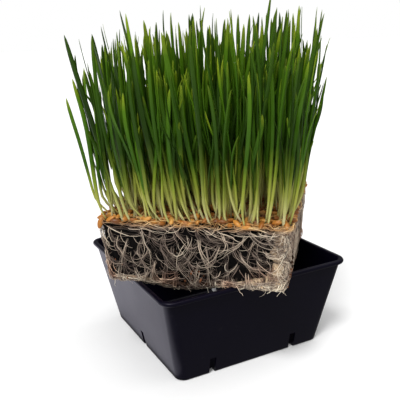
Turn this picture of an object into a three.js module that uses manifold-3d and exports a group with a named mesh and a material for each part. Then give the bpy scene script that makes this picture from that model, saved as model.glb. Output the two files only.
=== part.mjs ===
// A wheatgrass tray: a square plastic seed tray, with the root-bound mat of wheatgrass
// lifted out of it and laid across its rim.
// Millimetres, +Z up, origin in the middle of the tray's underside.

import * as THREE from 'three';
import { mergeVertices } from 'three/addons/utils/BufferGeometryUtils.js';
import Module from 'manifold-3d';

const wasm = await Module();
wasm.setup();

const { degToRad, lerp, seededRandom } = THREE.MathUtils;

// Tray
const rimHalf = 63.5;
const wallTopHalf = 61;
const baseHalf = 50.7;
const trayHeight = 57.5;
const lipHeight = 2.6;
const lipRound = 0.7;
const wallThickness = 1.1;
const floorThickness = 1.2;
const footRound = 1.5;
const rimCorner = 8;
const baseCorner = 6;

// Drain slots at the foot of the walls
const slotWidth = 4.2;
const slotHeight = 10.8;
const slotInset = 4.6;
const slotOffset = 28.8;

// Mat, laid on the rim
const gap = 0.3;
const matCentre = [-4.3, -10.9];
const matTurn = -41.7;
const matLength = 110;
const matDepth = 103;
const matTaper = 3;
const matCorner = 4;
const matTop = 94;
const baseFelt = 2.8;
const sideFelt = 1.6;
const matBottom = trayHeight + gap;

// Shoots, on a loose grid over the mat
const shootColumns = 7;
const shootRows = 6;
const shootMargin = 6;
const shootJitter = 2.4;
const shortestShoot = 88;
const longestShoot = 117;
const stemWidth = 2.3;
const bladeWidth = 3.5;
const edgeLean = 7;
const edgeBend = 15;
const strayLean = 1;
const strayBend = 1.5;
const shootSeed = 11;

// The shorter second blade that every other shoot has
const forkLow = 0.3;
const forkHigh = 0.42;
const secondShare = 0.42;
const secondLean = 4;
const secondBend = 9;
const secondTurn = 0.5;

// Grains
const grainLength = 6.6;
const grainWidth = 3.3;
const grainHeight = 2.9;
const grainTurn = 1.9;

// Points round a rectangle with round corners, at one height
function outline(halfX, halfY, radius, z, centreX = 0) {
  const steps = 4;
  const signs = [[1, 1], [-1, 1], [-1, -1], [1, -1]];
  return signs.flatMap(([signX, signY], corner) => {
    const points = [];
    for (let step = 0; step <= steps; step += 1) {
      const angle = (corner + step / steps) * Math.PI / 2;
      const x = centreX + signX * (halfX - radius) + radius * Math.cos(angle);
      const y = signY * (halfY - radius) + radius * Math.sin(angle);
      points.push(new THREE.Vector3(x, y, z));
    }
    return points;
  });
}

// A closed solid through rings of points, with a face over the first ring and the last
function loft(rings) {
  const count = rings[0].length;
  const index = [];
  for (let ring = 0; ring < rings.length - 1; ring += 1) {
    for (let k = 0; k < count; k += 1) {
      const a = ring * count + k;
      const b = ring * count + (k + 1) % count;
      index.push(a, b, b + count, a, b + count, a + count);
    }
  }
  const last = (rings.length - 1) * count;
  for (let k = 1; k < count - 1; k += 1) {
    index.push(0, k + 1, k, last, last + k, last + k + 1);
  }
  const geometry = new THREE.BufferGeometry().setFromPoints(rings.flat());
  geometry.setIndex(index);
  geometry.computeVertexNormals();
  return geometry;
}

function toSolid(geometry) {
  const bare = geometry.clone();
  bare.deleteAttribute('normal');
  bare.deleteAttribute('uv');
  const merged = mergeVertices(bare, 1e-4);
  return new wasm.Manifold(new wasm.Mesh({
    numProp: 3,
    vertProperties: new Float32Array(merged.attributes.position.array),
    triVerts: new Uint32Array(merged.index.array),
  }));
}

function toGeometry(solid) {
  const mesh = solid.getMesh();
  const geometry = new THREE.BufferGeometry();
  geometry.setAttribute('position', new THREE.BufferAttribute(mesh.vertProperties, 3));
  geometry.setIndex(new THREE.BufferAttribute(mesh.triVerts, 1));
  geometry.computeVertexNormals();
  return geometry;
}

function finish(color, roughness) {
  return new THREE.MeshStandardMaterial({ color, roughness, metalness: 0 });
}

const plastic = finish(0x17161c, 0.42);
const soil = finish(0x1d1611, 0.97);
const felt = finish(0xb3a184, 0.9);
const husk = finish(0xc4813a, 0.6);
const leaf = finish(0x4f7f24, 0.55);

function piece(name, geometry, material) {
  const mesh = new THREE.Mesh(geometry, material);
  mesh.name = name;
  return mesh;
}

// The tray: one skin from the underside, up the wall, over the lip and down to the floor
function makeTray() {
  const slope = (wallTopHalf - baseHalf) / (trayHeight - lipHeight);
  const innerTop = wallTopHalf - wallThickness + slope * lipHeight;
  const innerFoot = baseHalf - wallThickness + slope * floorThickness;
  const innerCorner = rimCorner - rimHalf + wallTopHalf;
  const innerBaseCorner = baseCorner - wallThickness;
  const skin = [
    [baseHalf - footRound, baseCorner, 0],
    [baseHalf - footRound * 0.3, baseCorner, footRound * 0.3],
    [baseHalf + slope * footRound, baseCorner, footRound],
    [wallTopHalf, innerCorner, trayHeight - lipHeight],
    [rimHalf - lipRound, rimCorner, trayHeight - lipHeight],
    [rimHalf, rimCorner, trayHeight - lipHeight + lipRound],
    [rimHalf, rimCorner, trayHeight - lipRound],
    [rimHalf - lipRound, rimCorner, trayHeight],
    [innerTop + lipRound, innerCorner, trayHeight],
    [innerTop, innerCorner, trayHeight - lipRound],
    [innerFoot + slope * footRound, innerBaseCorner, floorThickness + footRound],
    [innerFoot - footRound, innerBaseCorner, floorThickness],
  ];
  let tray = toSolid(loft(skin.map(([half, radius, z]) => outline(half, half, radius, z))));
  // [quarter turn of the wall, place along it]
  const slots = [[0, -slotOffset], [0, slotOffset], [2, -slotOffset], [2, slotOffset], [1, 0], [3, 0]];
  for (const [quarter, along] of slots) {
    const depth = slotInset + 4;
    const cut = new THREE.BoxGeometry(slotWidth, depth, slotHeight + 1);
    cut.translate(along, -baseHalf + slotInset - depth / 2, slotHeight / 2 - 0.5);
    cut.rotateZ(quarter * Math.PI / 2);
    tray = tray.subtract(toSolid(cut));
  }
  return piece('tray', toGeometry(tray), plastic);
}

// How far the mat's sides stand out from their place at the top, which is less than nothing lower down
function matSpread(z) {
  return lerp(-matTaper, 0, (z - matBottom) / (matTop - matBottom));
}

function makeSoil() {
  const low = matBottom + baseFelt + gap;
  const levels = [[low, 1.2], [low + 1.2, 0], [matTop - 1.6, 0], [matTop - 0.5, 0.5], [matTop, 1.6]];
  const rings = levels.map(([z, inset]) => {
    const spread = matSpread(z) - inset;
    const halfX = matLength / 2 + spread - (sideFelt + gap) / 2;
    return outline(halfX, matDepth / 2 + spread, matCorner, z, -(sideFelt + gap) / 2);
  });
  return piece('soil_block', loft(rings), soil);
}

function makeBaseFelt() {
  const levels = [[matBottom, 1.0], [matBottom + 0.8, 0], [matBottom + baseFelt, 0]];
  const rings = levels.map(([z, inset]) => {
    const spread = matSpread(z) - inset;
    return outline(matLength / 2 + spread, matDepth / 2 + spread, matCorner, z);
  });
  return piece('root_felt_base', loft(rings), felt);
}

// A thin sheet up the right-hand side of the block, leaning with it
function makeSideFelt() {
  const low = matBottom + baseFelt + gap;
  const rings = [low, matTop - 1].map((z) => {
    const outer = matLength / 2 + matSpread(z);
    const halfY = matDepth / 2 + matSpread(z) - matCorner;
    return outline(sideFelt / 2, halfY, sideFelt * 0.45, z, outer - sideFelt / 2);
  });
  return piece('root_felt_side', loft(rings), felt);
}

// A solid along a curve; each section is [share of the curve, width, thickness]
function sweep(curve, sections, facing) {
  const corners = 6;
  const rings = sections.map(([t, width, thickness]) => {
    const centre = curve.getPoint(t);
    const along = curve.getTangent(t);
    const side = new THREE.Vector3(Math.cos(facing), Math.sin(facing), 0);
    side.addScaledVector(along, -side.dot(along)).normalize();
    const out = new THREE.Vector3().crossVectors(along, side);
    const ring = [];
    for (let k = 0; k < corners; k += 1) {
      const angle = k / corners * Math.PI * 2;
      ring.push(centre.clone()
        .addScaledVector(side, Math.cos(angle) * width / 2)
        .addScaledVector(out, Math.sin(angle) * thickness / 2));
    }
    return ring;
  });
  return loft(rings);
}

// A curve that starts at foot, leaning by lean degrees towards heading, and ends leaning by bend
function stalk(foot, heading, lean, bend, length) {
  const towards = (angle) => {
    const tilt = degToRad(angle);
    return new THREE.Vector3(
      Math.sin(tilt) * Math.cos(heading),
      Math.sin(tilt) * Math.sin(heading),
      Math.cos(tilt),
    ).multiplyScalar(length / 2);
  };
  const middle = foot.clone().add(towards(lean));
  return new THREE.QuadraticBezierCurve3(foot, middle, middle.clone().add(towards(bend)));
}

function between(low, high) {
  return lerp(low, high, seededRandom());
}

const mainBlade = [
  [0, stemWidth * 0.8, stemWidth * 0.8],
  [0.07, stemWidth, stemWidth],
  [0.3, stemWidth * 1.05, stemWidth * 0.8],
  [0.5, bladeWidth * 0.95, 1.1],
  [0.72, bladeWidth, 0.9],
  [0.88, bladeWidth * 0.7, 0.8],
  [1, 0.6, 0.5],
];

const sideBlade = [
  [0, stemWidth * 0.5, 0.7],
  [0.25, bladeWidth * 0.8, 0.9],
  [0.65, bladeWidth * 0.75, 0.8],
  [1, 0.5, 0.4],
];

// One plant above ground: a stem that opens into a long blade, and on some a shorter second one
function makeShoot(number, foot, heading, reach) {
  const length = between(shortestShoot, longestShoot);
  const lean = edgeLean * reach + between(-strayLean, strayLean);
  const bend = edgeBend * reach + between(-strayBend, strayBend);
  const facing = between(0, Math.PI);
  const main = stalk(foot, heading, lean, bend, length);
  let geometry = sweep(main, mainBlade, facing);
  if (number % 2 === 0) {
    const fork = main.getPoint(between(forkLow, forkHigh));
    const turned = heading + between(-secondTurn, secondTurn);
    const second = stalk(fork, turned, lean + secondLean, bend + secondBend, length * secondShare);
    const blade = sweep(second, sideBlade, facing);
    geometry = toGeometry(toSolid(geometry).add(toSolid(blade)));
  }
  return piece(`shoot_${String(number).padStart(2, '0')}`, geometry, leaf);
}

function makeShoots() {
  seededRandom(shootSeed);
  const shoots = [];
  for (let row = 0; row < shootRows; row += 1) {
    for (let column = 0; column < shootColumns; column += 1) {
      const u = column / (shootColumns - 1) * 2 - 1;
      const v = row / (shootRows - 1) * 2 - 1;
      const x = u * (matLength / 2 - shootMargin) + between(-shootJitter, shootJitter) * (1 - u * u);
      const y = v * (matDepth / 2 - shootMargin) + between(-shootJitter, shootJitter) * (1 - v * v);
      const foot = new THREE.Vector3(x, y, matTop + gap);
      const reach = Math.max(Math.abs(u), Math.abs(v));
      shoots.push(makeShoot(shoots.length + 1, foot, Math.atan2(v, u), reach));
    }
  }
  return shoots;
}

// Grains lie in the gaps of the shoots' grid, most of them towards the front
function makeGrains() {
  const stepX = (matLength - 2 * shootMargin) / (shootColumns - 1);
  const stepY = (matDepth - 2 * shootMargin) / (shootRows - 1);
  // [column, row] of the gap
  const gaps = [[0, 0], [1, 0], [2, 0], [3, 0], [4, 0], [5, 0], [1, 1], [3, 1], [5, 1], [0, 2], [5, 3], [2, 3]];
  return gaps.map(([column, row], number) => {
    const grain = new THREE.SphereGeometry(0.5, 10, 7);
    grain.scale(grainWidth, grainHeight, grainLength);
    grain.rotateX(Math.PI / 2);
    const mesh = piece(`grain_${String(number + 1).padStart(2, '0')}`, grain, husk);
    mesh.position.set(
      -matLength / 2 + shootMargin + (column + 0.5) * stepX,
      -matDepth / 2 + shootMargin + (row + 0.5) * stepY,
      matTop + gap + grainHeight / 2,
    );
    mesh.rotation.z = number * grainTurn;
    return mesh;
  });
}

const mat = new THREE.Group();
mat.position.set(matCentre[0], matCentre[1], 0);
mat.rotation.z = degToRad(matTurn);
mat.add(makeSoil(), makeBaseFelt(), makeSideFelt(), ...makeGrains(), ...makeShoots());

const wheatgrassTray = new THREE.Group();
wheatgrassTray.add(makeTray(), mat);

export default wheatgrassTray;
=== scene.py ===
# Wheatgrass in its root mat, lying across a square seed tray
import math
import random
from types import SimpleNamespace

import bmesh
import bpy
import numpy
from mathutils import Matrix, Vector, noise


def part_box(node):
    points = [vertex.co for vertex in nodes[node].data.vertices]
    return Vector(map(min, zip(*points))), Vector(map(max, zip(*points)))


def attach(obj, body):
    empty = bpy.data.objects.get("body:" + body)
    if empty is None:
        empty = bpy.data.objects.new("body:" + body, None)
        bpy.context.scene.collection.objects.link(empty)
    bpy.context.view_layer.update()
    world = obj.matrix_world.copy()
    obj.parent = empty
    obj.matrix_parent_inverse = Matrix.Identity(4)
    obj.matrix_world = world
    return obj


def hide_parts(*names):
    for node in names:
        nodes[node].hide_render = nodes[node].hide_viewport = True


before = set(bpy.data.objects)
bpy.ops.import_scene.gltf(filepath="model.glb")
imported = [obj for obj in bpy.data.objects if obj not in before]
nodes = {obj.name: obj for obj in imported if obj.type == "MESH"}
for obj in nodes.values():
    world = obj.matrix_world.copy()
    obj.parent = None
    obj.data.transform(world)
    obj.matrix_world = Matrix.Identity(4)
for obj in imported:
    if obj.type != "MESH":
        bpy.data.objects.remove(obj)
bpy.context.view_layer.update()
mm = 0.001
anyTurn = 6.283  # a full turn


# Sums of sockets, written as Python
class Wire:  # one socket of a node tree
    def __init__(self, graph, socket):
        self.graph = graph
        self.socket = socket

    def out(self, name):  # another output of the same node
        return Wire(self.graph, pickSocket(self.socket.node.outputs, name))

    def __abs__(self):
        return self.graph.maths("ABSOLUTE", self)


def axisOf(number):
    return property(lambda self: self.graph.node("ShaderNodeSeparateXYZ", None, {0: self}, number))


def operator(operation, reflected=False):
    if reflected:
        return lambda self, other: self.graph.sum(operation, other, self)
    return lambda self, other: self.graph.sum(operation, self, other)


for sign, operation in {"add": "ADD", "sub": "SUBTRACT", "mul": "MULTIPLY",
                        "truediv": "DIVIDE", "pow": "POWER"}.items():
    setattr(Wire, f"__{sign}__", operator(operation))
    setattr(Wire, f"__r{sign}__", operator(operation, reflected=True))
for number, axis in enumerate("xyz"):
    setattr(Wire, axis, axisOf(number))


def pickSocket(sockets, key):  # by place, or the first switched-on socket of that name
    if isinstance(key, int):
        return sockets[key]
    return next(s for s in sockets if s.name == key and s.enabled)


def isVector(value):
    if isinstance(value, Wire):
        return value.socket.type in ("VECTOR", "RGBA")
    return isinstance(value, (tuple, list, Vector))


class Graph:
    def __init__(self, tree):
        self.tree = tree

    # any node: its type, then its settings, then what goes into its sockets
    def node(self, kind, settings=None, inputs=None, out=0):
        made = self.tree.nodes.new(kind)
        for name, value in (settings or {}).items():
            if name == "stops":
                self.setStops(made.color_ramp.elements, value)
            elif name == "points":
                self.setPoints(made.mapping, value)
            else:
                setattr(made, name, value)
        for key, value in (inputs or {}).items():
            socket = pickSocket(made.inputs, key)
            if isinstance(value, Wire):
                self.tree.links.new(value.socket, socket)
            else:
                socket.default_value = value
        return Wire(self, pickSocket(made.outputs, out))

    def setStops(self, elements, stops):
        while len(elements) < len(stops):
            elements.new(0.5)
        for element, (place, colour) in zip(elements, stops):
            element.position = place
            element.color = (*colour, 1.0)

    def setPoints(self, mapping, points):
        curve = mapping.curves[0]
        while len(curve.points) < len(points):
            curve.points.new(0.5, 0.5)
        for point, place in zip(curve.points, points):
            point.location = place
        mapping.update()

    def sum(self, operation, a, b):
        if not (isVector(a) or isVector(b)):
            return self.maths(operation, a, b)
        if operation == "MULTIPLY" and not (isVector(a) and isVector(b)):
            vector, number = (a, b) if isVector(a) else (b, a)
            return self.node("ShaderNodeVectorMath", {"operation": "SCALE"}, {0: vector, "Scale": number})
        return self.vector(operation, a, b)

    def maths(self, operation, *values):
        return self.node("ShaderNodeMath", {"operation": operation}, dict(enumerate(values)))

    def vector(self, operation, *values, out=0):
        return self.node("ShaderNodeVectorMath", {"operation": operation}, dict(enumerate(values)), out)

    def unit(self, vector):
        return self.vector("NORMALIZE", vector)

    def cross(self, a, b):
        return self.vector("CROSS_PRODUCT", a, b)

    def square(self, vector, way):  # the part of a vector that is square to a way
        return self.unit(vector - way * self.vector("DOT_PRODUCT", vector, way, out="Value"))

    def xyz(self, x, y, z):
        return self.node("ShaderNodeCombineXYZ", None, {0: x, 1: y, 2: z})

    def blend(self, share, a, b, kind="MIX"):  # of two colours
        return self.node("ShaderNodeMix", {"data_type": "RGBA", "blend_type": kind},
                         {"Factor": share, "A": a, "B": b}, "Result")

    def fade(self, value, low, high, start=0.0, end=1.0):  # smooth step from start to end
        return self.node("ShaderNodeMapRange", {"interpolation_type": "SMOOTHSTEP"},
                         {"Value": value, "From Min": low, "From Max": high, "To Min": start, "To Max": end})

    def noise(self, place, scale, detail=3.0, roughness=0.55, out=0):
        return self.node("ShaderNodeTexNoise", None,
                         {"Vector": place, "Scale": scale, "Detail": detail, "Roughness": roughness}, out)

    # what only shaders use
    def attribute(self, name):
        return self.node("ShaderNodeAttribute", {"attribute_name": name}, None, "Fac")

    def ramp(self, value, stops):
        return self.node("ShaderNodeValToRGB", {"stops": stops}, {"Fac": value})

    def bump(self, height, strength, distance):
        return self.node("ShaderNodeBump", None,
                         {"Height": height, "Strength": strength, "Distance": distance})

    # what only geometry trees use
    def keep(self, geometry, **values):  # stores named attributes on the points, one after another
        for name, value in values.items():
            kind = "FLOAT_VECTOR" if isVector(value) else "FLOAT"
            geometry = self.node("GeometryNodeStoreNamedAttribute", {"data_type": kind},
                                 {"Geometry": geometry, "Name": name, "Value": value})
        return geometry

    def kept(self, name, kind="FLOAT"):
        return self.node("GeometryNodeInputNamedAttribute", {"data_type": kind}, {"Name": name})

    def keptWay(self, name):
        return self.kept(name, "FLOAT_VECTOR")

    def chance(self, seed, low=0.0, high=1.0):
        return self.node("FunctionNodeRandomValue", {"data_type": "FLOAT"},
                         {"Min": low, "Max": high, "Seed": seed}, "Value")

    def chanceWay(self, seed, spread):  # a random vector, up to spread each way
        return self.node("FunctionNodeRandomValue", {"data_type": "FLOAT_VECTOR"},
                         {"Min": tuple(-n for n in spread), "Max": spread, "Seed": seed}, "Value")

    def scatter(self, given, density):  # points on the ground that a tree is given, no two too near
        return self.node("GeometryNodeDistributePointsOnFaces", {"distribute_method": "POISSON"}, {
            "Mesh": given["Geometry"], "Distance Min": given["Spacing"], "Density Max": density,
            "Seed": given["Seed"]}, "Points")

    def shift(self, geometry, **moved):
        return self.node("GeometryNodeSetPosition", None, {"Geometry": geometry, **moved})

    def copies(self, points, shape, **placed):
        return self.node("GeometryNodeInstanceOnPoints", None,
                         {"Points": points, "Instance": shape, **placed})

    def realize(self, geometry):
        return self.node("GeometryNodeRealizeInstances", None, {"Geometry": geometry})

    def smooth(self, geometry):
        return self.node("GeometryNodeSetShadeSmooth", None, {"Geometry": geometry, "Shade Smooth": True})

    def drop(self, geometry, names):  # working attributes that the finished piece has no use for
        for name in names.split():
            geometry = self.node("GeometryNodeRemoveAttribute", None, {"Geometry": geometry, "Name": name})
        return geometry

    def shapeOf(self, thing):
        return self.node("GeometryNodeObjectInfo", {"transform_space": "ORIGINAL"}, {"Object": thing}, "Geometry")

    def end(self, geometry, material=None):
        if material is not None:
            geometry = self.node("GeometryNodeSetMaterial", None,
                                 {"Geometry": self.realize(geometry), "Material": material})
        self.tree.links.new(geometry.socket, self.tree.nodes.new("NodeGroupOutput").inputs[0])
        return self.tree


# Geometry trees, and what they leave
socketKinds = {
    float: "NodeSocketFloat",
    int: "NodeSocketInt",
    tuple: "NodeSocketVector",
    bpy.types.Material: "NodeSocketMaterial",
    bpy.types.Object: "NodeSocketObject",
}


def newTree(name, sizes):  # its named inputs are the sizes, with these values to begin with
    tree = bpy.data.node_groups.new(name, "GeometryNodeTree")
    face = tree.interface
    face.new_socket("Geometry", in_out="INPUT", socket_type="NodeSocketGeometry")
    face.new_socket("Geometry", in_out="OUTPUT", socket_type="NodeSocketGeometry")
    for label, value in dict(sizes, Material=bpy.types.Material).items():
        kind = value if isinstance(value, type) else type(value)
        socket = face.new_socket(label, in_out="INPUT", socket_type=socketKinds[kind])
        if kind is not value:
            socket.default_value = value
    graph = Graph(tree)
    entry = tree.nodes.new("NodeGroupInput")
    return graph, {s.name: Wire(graph, s) for s in entry.outputs if s.name}


def evaluated(thing):  # its mesh with its modifiers applied
    view = bpy.context.evaluated_depsgraph_get()
    return bpy.data.meshes.new_from_object(
        thing.evaluated_get(view), preserve_all_data_layers=True, depsgraph=view)


def runTree(name, mesh, tree, sizes):  # the tree's result as a plain mesh
    holder = addPiece(name + "Seed", mesh)
    step = holder.modifiers.new("Grow", "NODES")
    step.node_group = tree
    for item in tree.interface.items_tree:
        if item.in_out == "INPUT" and item.name in sizes:
            step[item.identifier] = sizes[item.name]
    made = evaluated(holder)
    bpy.data.objects.remove(holder)
    return made


def addPiece(name, mesh):
    mesh.name = name
    piece = bpy.data.objects.new(name, mesh)
    bpy.context.collection.objects.link(piece)
    return piece


def finishPiece(piece, standsFor=()):
    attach(piece, "root")
    if standsFor:
        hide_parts(*standsFor)
    print(piece.name, len(piece.data.polygons))


def meshOf(bm, smooth=True):
    mesh = bpy.data.meshes.new("made")
    bmesh.ops.recalc_face_normals(bm, faces=bm.faces)
    bm.to_mesh(mesh)
    bm.free()
    for face in mesh.polygons:
        face.use_smooth = smooth
    return mesh


# Where the mat lies, read from the frame
def nodePoints(name):
    return [v.co.copy() for v in nodes[name].data.vertices]


def middleOf(points):
    return sum(points, Vector()) / len(points)


def spanOf(points, axis):
    values = [p[axis] for p in points]
    return min(values), max(values)


def readMat():
    sheet = nodePoints("root_felt_side")
    far = max(((a - b).xy.length, i, j) for i, a in enumerate(sheet) for j, b in enumerate(sheet[:i]))
    run = (sheet[far[1]] - sheet[far[2]]).xy  # along the mat's right-hand side
    turn = math.atan2(run.y, run.x) - math.pi / 2
    turn -= round(turn / math.pi) * math.pi
    flat = Matrix.Rotation(-turn, 4, "Z")
    block = [flat @ p for p in nodePoints("soil_block") + sheet]
    felt = [flat @ p for p in nodePoints("root_felt_base")]
    blockX, blockY, blockZ = (spanOf(block, axis) for axis in range(3))
    feltX, feltY, feltZ = (spanOf(felt, axis) for axis in range(3))
    middle = Vector((sum(feltX) / 2, sum(feltY) / 2, 0))
    return SimpleNamespace(
        place=Matrix.Rotation(turn, 4, "Z") @ Matrix.Translation(middle),
        halfLength=(blockX[1] - blockX[0]) / 2, halfDepth=(blockY[1] - blockY[0]) / 2,
        lowLength=(feltX[1] - feltX[0]) / 2, lowDepth=(feltY[1] - feltY[0]) / 2,
        top=blockZ[1], bottom=feltZ[0], feltTop=feltZ[1])


mat = readMat()
print("mat", {k: round(v, 4) for k, v in vars(mat).items() if k != "place"})


def matHalves(z):  # half its length and half its depth at a height
    share = (z - mat.bottom) / (mat.top - mat.bottom)
    return (mat.lowLength + (mat.halfLength - mat.lowLength) * share,
            mat.lowDepth + (mat.halfDepth - mat.lowDepth) * share)


# Camera, light and floor
cameraView = {
    "azimuth": -27.33, "elevation": 15.6, "roll": -1.92,
    "away": 0.4063, "across": -0.00615, "above": 0.08794, "lens": 52.56, "sensor": 36,
}
sunPlan = {
    # name: (the way it shines, softness in degrees, strength)
    "key": ((0.50, 0.42, -1.0), 20, 2.5),
    "top": ((-0.25, 0.1, -1.0), 60, 1.25),
}
skyGlow = 0.26
floorSize = 12.0
cardPlan = {"low": (-1.0, -0.058), "high": (-0.0525, 1.0), "glow": 0.40}  # beside the tray's left face


def makeCamera():
    turn, tilt, roll = (math.radians(cameraView[name]) for name in ("azimuth", "elevation", "roll"))
    back = Vector((math.sin(turn) * math.cos(tilt), -math.cos(turn) * math.cos(tilt), math.sin(tilt)))
    right = Vector((math.cos(turn), math.sin(turn), 0))
    up = back.cross(right)
    place = back * cameraView["away"] + right * cameraView["across"] + up * cameraView["above"]
    seenRight = right * math.cos(roll) + up * math.sin(roll)
    seenUp = up * math.cos(roll) - right * math.sin(roll)
    lens = bpy.data.cameras.new("camera")
    lens.lens = cameraView["lens"]
    lens.sensor_width = cameraView["sensor"]
    lens.clip_start = 0.01
    camera = bpy.data.objects.new("camera", lens)
    camera.matrix_world = Matrix.Translation(place) @ Matrix((seenRight, seenUp, back)).transposed().to_4x4()
    bpy.context.collection.objects.link(camera)
    bpy.context.scene.camera = camera


def makeLights():
    for name, (way, softness, strength) in sunPlan.items():
        lamp = bpy.data.lights.new(name, "SUN")
        lamp.angle = math.radians(softness)
        lamp.energy = strength
        lampObject = bpy.data.objects.new(name, lamp)
        lampObject.matrix_world = Vector(way).to_track_quat("-Z", "Y").to_matrix().to_4x4()
        bpy.context.collection.objects.link(lampObject)
    world = bpy.data.worlds.new("studio")
    bpy.context.scene.world = world
    world.use_nodes = True
    world.node_tree.nodes.clear()
    graph = Graph(world.node_tree)
    seen = graph.node("ShaderNodeLightPath", None, None, "Is Camera Ray")
    glow = graph.node("ShaderNodeBackground", None, {
        "Color": (1, 1, 1, 1), "Strength": seen * (1 - skyGlow) + skyGlow})
    end = world.node_tree.nodes.new("ShaderNodeOutputWorld")
    world.node_tree.links.new(glow.socket, end.inputs["Surface"])
    bpy.context.scene.view_settings.view_transform = "Standard"


def newMaterial(name):
    material = bpy.data.materials.new(name)
    material.use_nodes = True
    material.node_tree.nodes.clear()
    graph = Graph(material.node_tree)
    return material, graph, graph.node("ShaderNodeTexCoord", None, None, "Object")


# Wires go into the shader's sockets, and plain numbers stand on them
def endMaterial(material, graph, tone, roughness, specular, normal=None, more=None):
    inputs = {"Base Color": tone, "Roughness": roughness, "Specular IOR Level": specular, **(more or {})}
    if normal is not None:
        inputs["Normal"] = normal
    surface = graph.node("ShaderNodeBsdfPrincipled", None, inputs)
    graph.tree.links.new(surface.socket, graph.tree.nodes.new("ShaderNodeOutputMaterial").inputs["Surface"])
    return material


def stagePiece(name, mesh, darkest, palest, mottling, specular, more=None):
    material, graph, place = newMaterial(name + "Paint")
    tone = graph.blend(graph.noise(place, *mottling), darkest, palest)
    piece = addPiece(name, mesh)
    piece.data.materials.append(endMaterial(material, graph, tone, 0.9, specular, more=more))
    return piece


def makeFloor():
    bm = bmesh.new()
    bmesh.ops.create_grid(bm, x_segments=1, y_segments=1, size=floorSize)
    floor = stagePiece("floor", meshOf(bm), (0.93, 0.93, 0.93, 1), (0.95, 0.95, 0.95, 1), (6.0, 2.0), 0.1)
    floor.visible_glossy = False  # keeps the black plastic from mirroring it
    (x0, y0), (x1, y1) = cardPlan["low"], cardPlan["high"]
    mesh = bpy.data.meshes.new("card")
    mesh.from_pydata([(x0, y0, mm), (x1, y0, mm), (x1, y1, mm), (x0, y1, mm)], [], [(0, 1, 2, 3)])
    card = stagePiece("card", mesh, (0.88, 0.86, 1, 1), (0.95, 0.93, 1, 1), (5.0,), 0.0, {
        "Emission Color": (0.92, 0.90, 1, 1), "Emission Strength": cardPlan["glow"]})
    card.visible_camera = card.visible_diffuse = card.visible_shadow = False  # only the sheen shows


makeCamera()
makeLights()
makeFloor()
print("studio ready")


# Rounded rings, lofted into closed skins
def roundRing(halfX, halfY, radius, z, cornerSteps, sideSteps):
    corners = []
    for number, (signX, signY) in enumerate(((1, 1), (-1, 1), (-1, -1), (1, -1))):
        angles = [math.pi / 2 * (number + step / cornerSteps) for step in range(cornerSteps + 1)]
        corners.append([Vector((signX * (halfX - radius) + radius * math.cos(angle),
                                signY * (halfY - radius) + radius * math.sin(angle), z)) for angle in angles])
    points = []
    for arc, after in zip(corners, corners[1:] + corners[:1]):
        points += arc + [arc[-1].lerp(after[0], step / sideSteps) for step in range(1, sideSteps)]
    return points


def loftRings(rings):
    bm = bmesh.new()
    rows = [[bm.verts.new(p) for p in ring] for ring in rings]
    count = len(rows[0])
    for low, high in zip(rows, rows[1:]):
        for k in range(count):
            after = (k + 1) % count
            bm.faces.new((low[k], low[after], high[after], high[k]))
    bm.faces.new(list(reversed(rows[0])))
    bm.faces.new(rows[-1])
    return bm


# A block in the mat's own frame with even quads, its caps filled by shrinking rings
def blockMesh(low, high, inset, step, capStep):
    corner, soften = matSizes["corner"], matSizes["soften"]
    sideSteps = round(2 * mat.halfLength / step)

    def ringAt(z, pull):
        halfX, halfY = (half - inset - pull for half in matHalves(z))
        return roundRing(halfX, halfY, max(0.2 * mm, corner - pull * 0.5), z, 8, sideSteps)

    caps = max(2, int((mat.lowDepth - inset - 4 * mm) / capStep))
    pulls = [soften + capStep * k for k in range(caps)]
    pulls = [p for p in pulls if p < mat.lowDepth - inset - 2 * mm]
    rows = max(1, round((high - low - 2 * soften) / step))
    rings = [ringAt(low, p) for p in reversed(pulls)]
    rings.append(ringAt(low + soften * 0.3, soften * 0.3))
    for row in range(rows + 1):
        rings.append(ringAt(low + soften + (high - low - 2 * soften) * row / rows, 0))
    rings.append(ringAt(high - soften * 0.3, soften * 0.3))
    rings += [ringAt(high, p) for p in pulls]
    return loftRings(rings)


def onMat(name, mesh, standsFor=(), sags=True):  # turns a piece from the mat's frame to its place
    mesh.transform(mat.place)
    if sags:
        sagMesh(mesh)
    finishPiece(addPiece(name, mesh), standsFor)


# The unsupported middle of the mat hangs a little into the tray
def sagMesh(mesh):
    count = len(mesh.vertices)
    flat = numpy.empty(count * 3)
    mesh.vertices.foreach_get("co", flat)
    points = flat.reshape(count, 3)
    inside = matSizes["rimInside"] - numpy.abs(points[:, :2]).max(axis=1)
    reach = numpy.clip(inside / matSizes["sagRun"], 0, 1)
    depth = numpy.clip(1 - (points[:, 2] - mat.bottom) / matSizes["sagHeight"], 0, 1.15)
    points[:, 2] -= matSizes["sag"] * reach * reach * (3 - 2 * reach) * depth
    mesh.vertices.foreach_set("co", points.reshape(-1))
    mesh.update()


# Tray
traySizes = {
    "wallTop": 61 * mm, "lipHeight": 2.6 * mm, "lipRound": 0.9 * mm, "wall": 1.1 * mm, "floor": 1.2 * mm,
    "foot": 1.5 * mm, "rimCorner": 8 * mm, "baseCorner": 6 * mm, "base": 50.7 * mm,
    "slotWidth": 4.2 * mm, "slotHeight": 10.8 * mm, "slotInset": 4.6 * mm, "slotOffset": 28.8 * mm,
    "cornerSteps": 10, "sideSteps": 12, "wallSteps": 6, "waviness": 0.22 * mm,
}


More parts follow.
